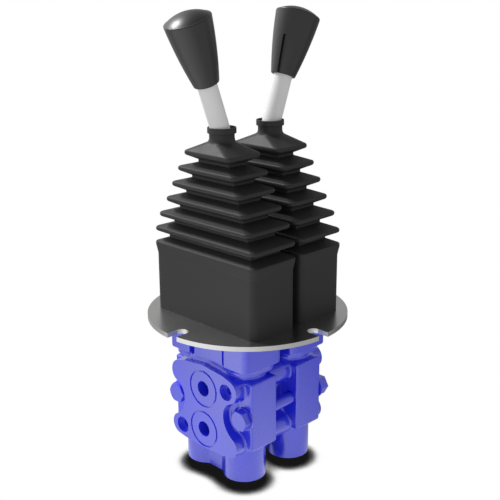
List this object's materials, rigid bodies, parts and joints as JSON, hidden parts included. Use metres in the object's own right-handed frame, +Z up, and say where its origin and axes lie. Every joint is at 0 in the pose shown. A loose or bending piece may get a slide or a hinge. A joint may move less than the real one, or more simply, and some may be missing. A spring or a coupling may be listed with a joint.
{
  "type": "hydraulic pilot joystick valve",
  "caption": "Stacked pilot valve with cranked spring-return hand levers in bellows boots above a round slotted plate, and blue castings with threaded ports below.",
  "frame": {"origin": "centre of the round mounting plate's underside, where the valve sits on its panel", "axes": "+Z up along the valve, from the ports to the levers; +X from the section with the tank and pressure ports to the other one, along the stack; +Y the way that the levers are pushed"},
  "size_m": [0.1298, 0.1298, 0.294],
  "materials": {
    "blue_casting": "semi-gloss blue enamel over a casting",
    "blue_fastener": "semi-gloss blue enamel over steel",
    "zinc_plate": "zinc-plated steel sheet",
    "seal_rubber": "nitrile rubber",
    "boot_rubber": "matte moulded rubber",
    "bright_steel": "ground steel",
    "spring_steel": "spring wire",
    "black_steel": "black oxide",
    "bush_bronze": "turned bronze",
    "satin_rod": "satin light grey",
    "knob_plastic": "satin phenolic with a glossy dome"
  },
  "bodies": {
    "root": {"front_valve_body": "blue_casting", "rear_valve_body": "blue_casting", "tie_bolts": "blue_fastener", "tie_bolt_nuts": "blue_fastener", "tie_bolt_washers": "blue_fastener", "closing_plugs": "blue_fastener", "drilling_plugs": "blue_fastener", "mounting_plate": "zinc_plate", "gallery_seals": "seal_rubber", "guide_seals": "seal_rubber", "plunger_wipers": "seal_rubber", "closing_plug_seals": "seal_rubber", "plunger_guides": "bright_steel", "pivot_pins": "bright_steel", "pivot_pin_clips": "bright_steel", "bracket_screws": "black_steel", "boot_frame_screws": "black_steel", "front_pivot_bracket": "zinc_plate", "front_boot_frame": "zinc_plate", "front_boot": "boot_rubber", "front_push_return_spring": "spring_steel", "front_pull_return_spring": "spring_steel", "rear_pivot_bracket": "zinc_plate", "rear_boot_frame": "zinc_plate", "rear_boot": "boot_rubber", "rear_push_return_spring": "spring_steel", "rear_pull_return_spring": "spring_steel"},
    "front_lever": {"front_rocker": "bright_steel", "front_pivot_bushes": "bush_bronze", "front_lever_rod": "satin_rod", "front_lock_nut": "bright_steel", "front_knob": "knob_plastic", "front_knob_insert": "bush_bronze"},
    "front_push_plunger": {"front_push_plunger": "bright_steel", "front_push_spring_seat": "bright_steel", "front_push_metering_spring": "spring_steel"},
    "front_push_spool": {"front_push_spool": "bright_steel"},
    "front_pull_plunger": {"front_pull_plunger": "bright_steel", "front_pull_spring_seat": "bright_steel", "front_pull_metering_spring": "spring_steel"},
    "front_pull_spool": {"front_pull_spool": "bright_steel"},
    "rear_lever": {"rear_rocker": "bright_steel", "rear_pivot_bushes": "bush_bronze", "rear_lever_rod": "satin_rod", "rear_lock_nut": "bright_steel", "rear_knob": "knob_plastic", "rear_knob_insert": "bush_bronze"},
    "rear_push_plunger": {"rear_push_plunger": "bright_steel", "rear_push_spring_seat": "bright_steel", "rear_push_metering_spring": "spring_steel"},
    "rear_push_spool": {"rear_push_spool": "bright_steel"},
    "rear_pull_plunger": {"rear_pull_plunger": "bright_steel", "rear_pull_spring_seat": "bright_steel", "rear_pull_metering_spring": "spring_steel"},
    "rear_pull_spool": {"rear_pull_spool": "bright_steel"}
  },
  "joints": [
    {"name": "front_lever_swing", "type": "hinge", "parent": "root", "child": "front_lever", "pos_m": [-0.021, 0, 0.025], "axis": [1, 0, 0], "range_deg": [-20, 20], "stiffness_Nm_per_rad": 2.5, "deforming": ["front_boot"]},
    {"name": "front_push_plunger_slide", "type": "slide", "parent": "root", "child": "front_push_plunger", "axis": [0, 0, 1], "range_m": [-0.0063, 0.0063], "deforming": ["front_push_return_spring", "front_push_metering_spring"]},
    {"name": "front_push_spool_slide", "type": "slide", "parent": "root", "child": "front_push_spool", "axis": [0, 0, 1], "range_m": [-0.004, 0.004]},
    {"name": "front_pull_plunger_slide", "type": "slide", "parent": "root", "child": "front_pull_plunger", "axis": [0, 0, 1], "range_m": [-0.0063, 0.0063], "deforming": ["front_pull_return_spring", "front_pull_metering_spring"]},
    {"name": "front_pull_spool_slide", "type": "slide", "parent": "root", "child": "front_pull_spool", "axis": [0, 0, 1], "range_m": [-0.004, 0.004]},
    {"name": "rear_lever_swing", "type": "hinge", "parent": "root", "child": "rear_lever", "pos_m": [0.021, 0, 0.025], "axis": [1, 0, 0], "range_deg": [-20, 20], "stiffness_Nm_per_rad": 2.5, "deforming": ["rear_boot"]},
    {"name": "rear_push_plunger_slide", "type": "slide", "parent": "root", "child": "rear_push_plunger", "axis": [0, 0, 1], "range_m": [-0.0063, 0.0063], "deforming": ["rear_push_return_spring", "rear_push_metering_spring"]},
    {"name": "rear_push_spool_slide", "type": "slide", "parent": "root", "child": "rear_push_spool", "axis": [0, 0, 1], "range_m": [-0.004, 0.004]},
    {"name": "rear_pull_plunger_slide", "type": "slide", "parent": "root", "child": "rear_pull_plunger", "axis": [0, 0, 1], "range_m": [-0.0063, 0.0063], "deforming": ["rear_pull_return_spring", "rear_pull_metering_spring"]},
    {"name": "rear_pull_spool_slide", "type": "slide", "parent": "root", "child": "rear_pull_spool", "axis": [0, 0, 1], "range_m": [-0.004, 0.004]}
  ],
  "couplings": [
    {"joint": "front_push_plunger_slide", "follows": "front_lever_swing", "m_per_rad": 0.0178},
    {"joint": "front_push_spool_slide", "follows": "front_lever_swing", "m_per_rad": 0.0114},
    {"joint": "front_pull_plunger_slide", "follows": "front_lever_swing", "m_per_rad": -0.0178},
    {"joint": "front_pull_spool_slide", "follows": "front_lever_swing", "m_per_rad": -0.0114},
    {"joint": "rear_push_plunger_slide", "follows": "rear_lever_swing", "m_per_rad": 0.0178},
    {"joint": "rear_push_spool_slide", "follows": "rear_lever_swing", "m_per_rad": 0.0114},
    {"joint": "rear_pull_plunger_slide", "follows": "rear_lever_swing", "m_per_rad": -0.0178},
    {"joint": "rear_pull_spool_slide", "follows": "rear_lever_swing", "m_per_rad": -0.0114}
  ]
}
